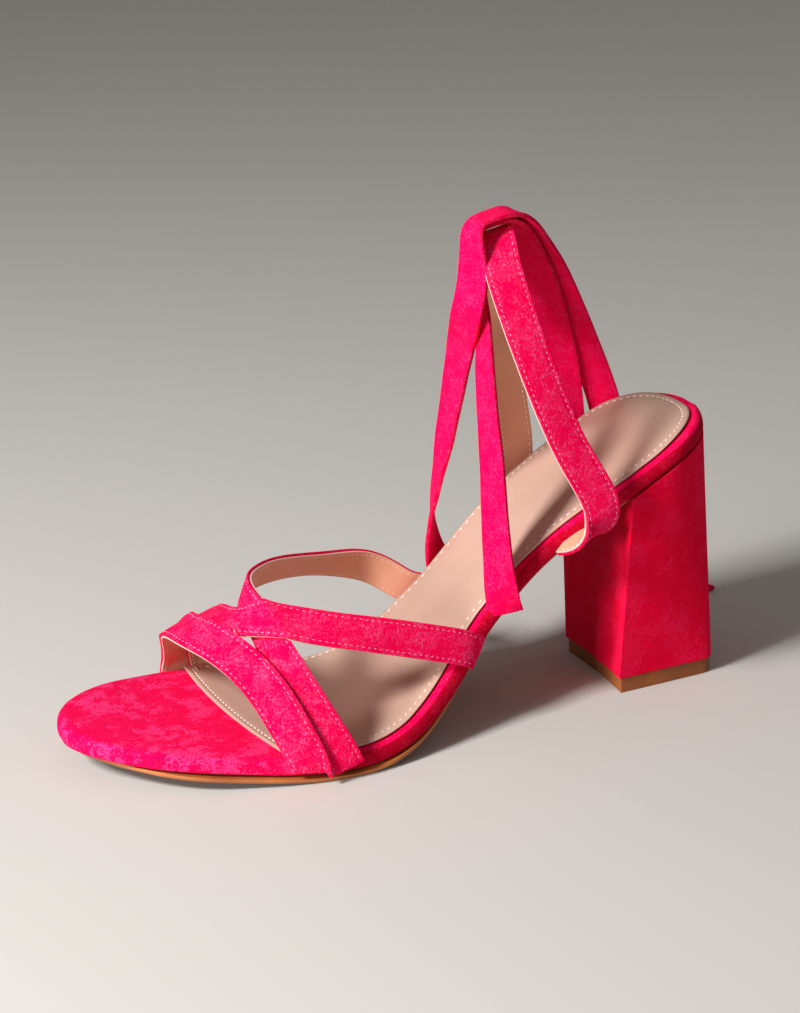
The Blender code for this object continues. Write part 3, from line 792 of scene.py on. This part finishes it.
def surfaceNormals(rows):
    normals = []
    for i, row in enumerate(rows):
        line = []
        for k in range(len(row)):
            along = rows[min(i + 1, len(rows) - 1)][k] - rows[max(i - 1, 0)][k]
            across = row[min(k + 1, len(row) - 1)] - row[max(k - 1, 0)]
            line.append(along.cross(across).normalized())
        normals.append(line)
    return normals


def stripLayer(name, rows, columns, middle, thick, profile, materials, bevel, trim=0.0):
    # One layer of a strip from a flat grid, bent along its rows; trim narrows it
    grid = len(rows) - 1
    bpy.ops.mesh.primitive_grid_add(x_subdivisions=len(columns) - 1, y_subdivisions=grid, size=2.0)
    layer = bpy.context.active_object
    layer.name = name
    normals = surfaceNormals(rows)
    half = columns[-1]
    share = (half - trim) / half
    lengths = [0.0]
    for before, after in zip(rows, rows[1:]):
        lengths.append(lengths[-1] + (after[len(columns) // 2] - before[len(columns) // 2]).length)
    spots = []
    for vertex in layer.data.vertices:
        k = round((vertex.co.x + 1.0) / 2.0 * (len(columns) - 1))
        i = round((vertex.co.y + 1.0) / 2.0 * grid)
        centre = (rows[i][0] + rows[i][-1]) / 2.0
        u = columns[k]
        point = centre + (rows[i][k] - centre) * share
        spots.append((u, lengths[i]))
        vertex.co = (point + normals[i][k] * (middle + profile(u, half))) * mm
    uvs = layer.data.uv_layers.active.data
    for loop in layer.data.loops:
        uvs[loop.index].uv = (spots[loop.vertex_index][0] * mm, spots[loop.vertex_index][1] * mm)
    for material in materials:
        layer.data.materials.append(material)
    solid = layer.modifiers.new("thickness", "SOLIDIFY")
    solid.thickness = thick * mm
    solid.offset = 0.0
    solid.use_even_offset = False
    solid.material_offset_rim = 1 if len(materials) > 1 else 0
    bevelEdges(layer, bevel, 2, 50.0)
    applyAll(layer)
    smoothAngle(layer, 60.0)
    return layer


def crowned(u, half):
    # Stitch grooves near both edges, a soft crown between them and edges that roll down
    inside = half - abs(u)
    if inside > 1.3:
        return 0.16 * (1.0 - ((half - inside) / half) ** 2)
    if inside > 1.05:
        return -0.05
    return 0.06 - 0.22 * max(0.4 - inside, 0.0)


def flat(u, half):
    return 0.0


def stitchSpots(rows, columns, inset, pitch, height, skipEnds=2.5):
    # Even places along both edges of a strip
    normals = surfaceNormals(rows)
    half = columns[-1]
    spots = []
    for u in (-half + inset, half - inset):
        k = max(index for index in range(len(columns) - 1) if columns[index] <= u)
        t = (u - columns[k]) / (columns[k + 1] - columns[k])
        line = [row[k].lerp(row[k + 1], t) for row in rows]
        lengths = [0.0]
        for a, b in zip(line, line[1:]):
            lengths.append(lengths[-1] + (b - a).length)
        count = int((lengths[-1] - 2 * skipEnds) / pitch)
        i = 0
        for number in range(count + 1):
            at = skipEnds + number * pitch
            while i < len(line) - 2 and lengths[i + 1] < at:
                i += 1
            share = (at - lengths[i]) / (lengths[i + 1] - lengths[i])
            place = line[i].lerp(line[i + 1], share)
            normal = normals[i][k].lerp(normals[i + 1][k], share).normalized()
            spots.append((place + normal * height, (line[i + 1] - line[i]).normalized(), normal))
    return spots


# Heights are from the strip's middle, outwards
strapLook = {
    "width": 11.2,
    "passes": 14,               # smoothing of the route
    "suedeThick": 1.1,
    "suedeMiddle": 0.3,
    "suedeBevel": 0.3,
    "liningThick": 0.6,
    "liningMiddle": -0.56,
    "liningBevel": 0.12,
    "liningTrim": 0.1,
    "stitch": (1.1, 0.3, 0.28),
    "stitchInset": 1.25,
    "stitchPitch": 2.0,
    "stitchSunk": 0.03,
    "innerStitchHeight": -0.88,
    "sinkReach": (6.0, 24.0),   # a crossing is pressed down whole within the first distance
    "liftNeed": 1.0,
}
strapStitch = makeStitchModel(*strapLook["stitch"])
# A strap's rows are its middle line from the outer side of the sole to the inner side
straps = {
    "toeStrap": {
        "rows": ((-133.6, -45.6, 5.0, 0.4), (-134.6, -45.8, 9.0, 0.4), (-144.2, -35.0, 31.0, 0.4),
                 (-152.2, -22.4, 40.2, 0.36), (-157.8, -7.4, 41.4, 0.3), (-157.8, 9.0, 37.2, 0.25),
                 (-153.4, 26.0, 26.3, 0.4), (-149.6, 41.4, 15.0, 0.4), (-149.2, 44.3, 9.7, 0.4),
                 (-149.8, 44.1, 5.9, 0.4)),
        "first": (-0.15, -0.99, -0.05), "last": (0.0, 1.0, -0.05), "sink": (-156.0, -20.0, 43.0, 0.4),
        "width": 12.0,
    },
    "crossStrap": {
        "rows": ((-71.4, -28.8, 26.6, 0.4), (-75.0, -30.6, 29.4, 0.4), (-97.0, -31.8, 37.0, 0.45),
                 (-120.0, -31.0, 43.7, 0.45), (-136.5, -24.5, 47.4, 0.4), (-147.2, -13.0, 46.2, 0.34),
                 (-148.8, 3.0, 42.8, 0.32), (-146.6, 23.0, 32.8, 0.4), (-141.0, 41.2, 15.5, 0.4),
                 (-139.1, 43.5, 8.5, 0.4), (-139.5, 43.3, 4.7, 0.4)),
        "first": (0.24, -0.94, 0.24), "last": (0.1, 0.99, -0.02), "sink": (-150.0, -12.0, 46.5, 1.3),
    },
    "instepStrap": {
        "rows": ((-122.4, -46.5, 4.2, 0.4), (-123.9, -46.9, 8.2, 0.4), (-131.5, -42.5, 24.0, 0.45),
                 (-137.0, -33.0, 36.8, 0.6), (-140.4, -21.5, 46.0, 2.2), (-140.6, -7.0, 50.6, 4.0),
                 (-128.5, 12.0, 49.6, 1.6), (-106.5, 27.0, 44.5, 0.5), (-85.5, 32.0, 38.8, 0.45),
                 (-74.0, 27.2, 31.0, 0.4), (-69.5, 26.2, 29.8, 0.4)),
        "first": (0.0, -1.0, -0.05), "last": (0.16, 0.98, 0.16), "sink": (-139.6, -23.0, 47.2, 1.3),
    },
}


def makeStrap(name, lower):
    data = straps[name]
    points = [Vector(row[:3]) for row in data["rows"]]
    normals = [footNormal(point, row[3]) for point, row in zip(points, data["rows"])]
    normals[0] = normals[1] = Vector(data["first"]).normalized()
    normals[-1] = normals[-2] = Vector(data["last"]).normalized()
    width = data.get("width", strapLook["width"])
    rows, rowNormals, columns = layStrip(points, normals, width, passes=strapLook["passes"])
    crossing, depth = Vector(data["sink"][:3]), data["sink"][3]
    for row, facing in zip(rows, rowNormals):
        for k, point in enumerate(row):
            away = shareOf((point - crossing).length, *strapLook["sinkReach"])
            row[k] = point - facing * depth * (1.0 - away)
    rows = liftOver(rows, rowNormals, lower, strapLook["liftNeed"])
    return dressStrip(name, rows, columns)


def dressStrip(name, rows, columns):
    # Suede outside, lining inside, and the stitches of both faces
    outer = stripLayer(name, rows, columns, strapLook["suedeMiddle"], strapLook["suedeThick"], crowned,
                       [suedeStrap, suedeEdge], strapLook["suedeBevel"])
    settle(outer, [], "suede")
    inner = stripLayer(name + "Lining", rows, columns, strapLook["liningMiddle"], strapLook["liningThick"],
                       flat, [liningNude, liningPale], strapLook["liningBevel"], strapLook["liningTrim"])
    settle(inner, [], "lining")
    made = [outer, inner]
    top = strapLook["suedeMiddle"] + strapLook["suedeThick"] / 2.0 - strapLook["stitchSunk"]
    for ending, height, material, slotName in (
            ("Stitches", top, threadPink, "suede"),
            ("InnerStitches", strapLook["innerStitchHeight"], threadCream, "lining")):
        spots = stitchSpots(rows, columns, strapLook["stitchInset"], strapLook["stitchPitch"], height)
        thread = sewRow(name + ending, spots, strapStitch, material)
        settle(thread, [], slotName)
        made.append(thread)
    return made


instep = makeStrap("instepStrap", [])
cross = makeStrap("crossStrap", [treeOf(instep[0])])
toe = makeStrap("toeStrap", [treeOf(instep[0]), treeOf(cross[0])])
for piece in instep + cross + toe:
    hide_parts("upper")
print("straps sewn")


# Sling and ties: rows with the heading (turn) and the rise (lean) of the strip's width, in degrees
slingWidth = 12.0
slingRows = (
    (-38.8, -26.6, 58.2, 0, 31), (-36.8, -31.0, 59.2, 0, 30), (-33.6, -33.8, 61.0, 0, 27),
    (-31.0, -35.0, 64.4, 0, 24), (-30.2, -35.6, 68.4, 0, 21), (-31.2, -35.4, 73.4, 2, 20),
    (-34.6, -34.6, 80.6, 6, 21), (-40.6, -32.0, 93.4, 12, 22),
    (-47.5, -25.5, 116.5, 12, 18), (-51.0, -12.5, 141.0, 6, 16), (-49.5, 0.0, 154.0, 0, 16),
    (-46.0, 10.5, 145.5, 0, 18), (-41.0, 19.0, 121.0, 0, 22), (-35.5, 26.0, 95.0, 0, 26),
    (-32.0, 29.2, 76.0, 0, 28), (-32.0, 29.6, 66.2, 0, 28), (-31.4, 29.2, 62.1, 0, 28),
)
tieRows = {
    "tieLateral": (
        (-60.4, -26.9, 37.6, -20, 26), (-61.8, -27.8, 43.5, -38, 18), (-62.7, -27.3, 57.2, -59, 8),
        (-62.4, -25.0, 71.5, -67, 4), (-61.7, -22.5, 85.4, -72, 2), (-60.8, -18.0, 101.0, -81, 0),
        (-58.3, -10.5, 113.4, -88, 0), (-55.2, -3.0, 122.5, -95, 0), (-52.8, 2.2, 130.5, -103, 0),
        (-53.3, 3.6, 138.0, -100, 0), (-54.9, 3.9, 144.0, -96, 0), (-56.9, 3.6, 149.4, -92, 0),
        (-55.6, 2.9, 155.4, -90, 0), (-49.3, 2.4, 157.1, -90, 0), (-43.0, 3.2, 157.2, -86, 0),
        (-36.4, 6.4, 150.0, -72, 0), (-26.5, 14.2, 129.0, -45, 0), (-17.0, 24.4, 104.0, -22, 0),
        (-12.4, 30.2, 86.5, -8, 0), (-9.8, 33.5, 68.0, -2, 0), (-8.0, 35.2, 45.0, 0, 0),
        (-6.0, 36.2, 22.0, 0, 0), (-3.5, 38.5, 8.0, -2, 0), (1.0, 47.0, 2.0, -15, 0),
        (11.0, 58.0, 1.3, -40, 0), (26.0, 66.0, 1.3, -68, 0),
    ),
    "tieMedial": (
        (-63.2, 24.7, 39.5, -150, -20), (-64.6, 24.9, 45.0, -134, -14), (-65.0, 24.4, 55.0, -116, -7),
        (-63.4, 22.8, 67.0, -101, -3), (-60.4, 19.5, 86.5, -82, 0), (-59.4, 11.5, 107.5, -74, 0),
        (-59.8, 5.6, 118.0, -69, 0), (-61.1, -2.0, 127.5, -61, 0), (-60.8, -5.2, 134.0, -55, 0),
        (-59.8, -5.6, 139.0, -53, 0), (-59.0, -4.8, 144.0, -58, 0), (-58.6, -3.8, 149.0, -69, 0),
        (-58.2, -2.2, 154.0, -81, 0), (-56.2, -1.0, 158.0, -88, 0), (-49.2, -0.5, 159.6, -90, 0),
        (-42.0, 1.0, 159.6, -87, 0), (-34.8, 4.2, 153.0, -75, 0), (-23.4, 11.0, 134.0, -52, 0),
        (-11.6, 20.0, 111.0, -38, 0), (-4.2, 25.8, 96.0, -31, 0), (1.0, 29.6, 83.5, -28, 0),
        (6.0, 33.2, 64.0, -28, 0), (9.2, 34.9, 40.0, -28, 0), (11.5, 36.2, 18.0, -30, 0),
        (15.0, 39.5, 6.0, -32, 0), (23.0, 46.0, 1.8, -38, 0), (36.0, 53.0, 1.3, -62, 0),
        (52.0, 56.0, 1.3, -80, 0),
    ),
}


def facingsOf(rows, sign):
    points = [Vector(row[:3]) for row in rows]
    normals = []
    for i, row in enumerate(rows):
        turn, lean = radians(row[3]), radians(row[4])
        across = Vector((cos(turn) * cos(lean), sin(turn) * cos(lean), sin(lean)))
        tangent = points[min(i + 1, len(points) - 1)] - points[max(i - 1, 0)]
        normals.append(tangent.cross(across).normalized() * sign)
    return points, normals


slingPoints, slingNormals = facingsOf(slingRows, -1)
rows, rowNormals, columns = layStrip(slingPoints, slingNormals, slingWidth)
sling = dressStrip("slingStrap", rows, columns)
for piece in sling:
    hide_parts("heel_sling")
print("sling sewn")

tieLook = {"width": 11.0, "thick": 1.4, "bevel": 0.3}


def makeTie(name, nodes):
    sign = -1 if name == "tieLateral" else 1
    points, normals = facingsOf(tieRows[name], sign)
    rows, rowNormals, columns = layStrip(points, normals, tieLook["width"])
    tie = stripLayer(name, rows, columns, 0.0, tieLook["thick"], crowned, [suedeTie, suedeEdge],
                     tieLook["bevel"])
    settle(tie, nodes, "suede")
    path = [(row[0] + row[-1]) / 2.0 * mm for row in rows]
    length = sum((b - a).length for a, b in zip(path, path[1:]))
    print(name, "length", round(length, 4))
    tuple(path[0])


makeTie("tieLateral", ["tie_end_lateral", "tie_crossing"])
makeTie("tieMedial", ["tie_end_medial", "tie_crossing"])
print("ties laid")


# Floor and light
studio = {
    "floorSize": 8.0,           # metres
    "floorMiddle": (0, -1.0, 0),
    "floorTurn": -21.0,         # about square to the camera
    "wallHeight": 4.0,
    "foldRadius": 1.2,
    "floorColour": (0.60, 0.575, 0.54, 1),
    "keyFrom": (-0.95, -0.32, 0.72),
    "keyPower": 20.5,
    "keySize": 0.26,
    "lowFrom": (-1.0, -0.42, 0.15),
    "lowPower": 9.0,
    "lowSize": 0.3,
    "lightMiddle": (-0.04, 0.0, 0.06),
    "lightDistance": 1.3,
    "worldColour": (0.85, 0.83, 0.80, 1),
    "worldPower": 0.27,
}


def makeFloor():
    # A floor that turns up into a wall behind the shoe
    bpy.ops.mesh.primitive_plane_add(size=studio["floorSize"], location=studio["floorMiddle"])
    floor = bpy.context.active_object
    floor.name = "floor"
    bpy.ops.object.mode_set(mode="EDIT")
    bpy.ops.mesh.select_all(action="DESELECT")
    bpy.ops.object.mode_set(mode="OBJECT")
    for edge in floor.data.edges:
        edge.select = all(floor.data.vertices[i].co.y > 0 for i in edge.vertices)
    bpy.ops.object.mode_set(mode="EDIT")
    bpy.ops.mesh.select_mode(type="EDGE")
    bpy.ops.mesh.extrude_region_move(TRANSFORM_OT_translate={"value": (0, 0, studio["wallHeight"])})
    bpy.ops.object.mode_set(mode="OBJECT")
    bpy.ops.object.transform_apply(location=True)
    floor.data.transform(Matrix.Rotation(radians(studio["floorTurn"]), 4, "Z"))
    fold = floor.modifiers.new("fold", "BEVEL")
    fold.width = studio["foldRadius"]
    fold.segments = 24
    applyAll(floor)
    floor.data.shade_smooth()
    material, tree, shader, vector = newMaterial("pale floor")
    cloud = noise(tree, -600, 0, vector, 3.0, 4.0)
    dull = [value * 0.94 for value in studio["floorColour"][:3]] + [1]
    tone = mixColour(tree, 0, 0, cloud, studio["floorColour"], dull)
    tree.links.new(tone, shader.inputs["Base Color"])
    shader.inputs["Roughness"].default_value = 0.9
    shader.inputs["Specular IOR Level"].default_value = 0.1
    floor.data.materials.append(material)


def makeLights():
    world = bpy.data.worlds.new("studio")
    scene.world = world
    world.use_nodes = True
    sky = world.node_tree.nodes["Background"]
    sky.inputs["Color"].default_value = studio["worldColour"]
    sky.inputs["Strength"].default_value = studio["worldPower"]
    middle = Vector(studio["lightMiddle"])
    for name, direction, power, size in (
            ("key", studio["keyFrom"], studio["keyPower"], studio["keySize"]),
            ("low", studio["lowFrom"], studio["lowPower"], studio["lowSize"])):
        light = bpy.data.lights.new(name, "AREA")
        light.energy = power
        light.size = size
        lamp = bpy.data.objects.new(name, light)
        away = Vector(direction).normalized()
        lamp.location = middle + away * studio["lightDistance"]
        lamp.rotation_euler = away.to_track_quat("Z", "Y").to_euler()
        scene.collection.objects.link(lamp)


makeFloor()
makeLights()
print("studio lit")
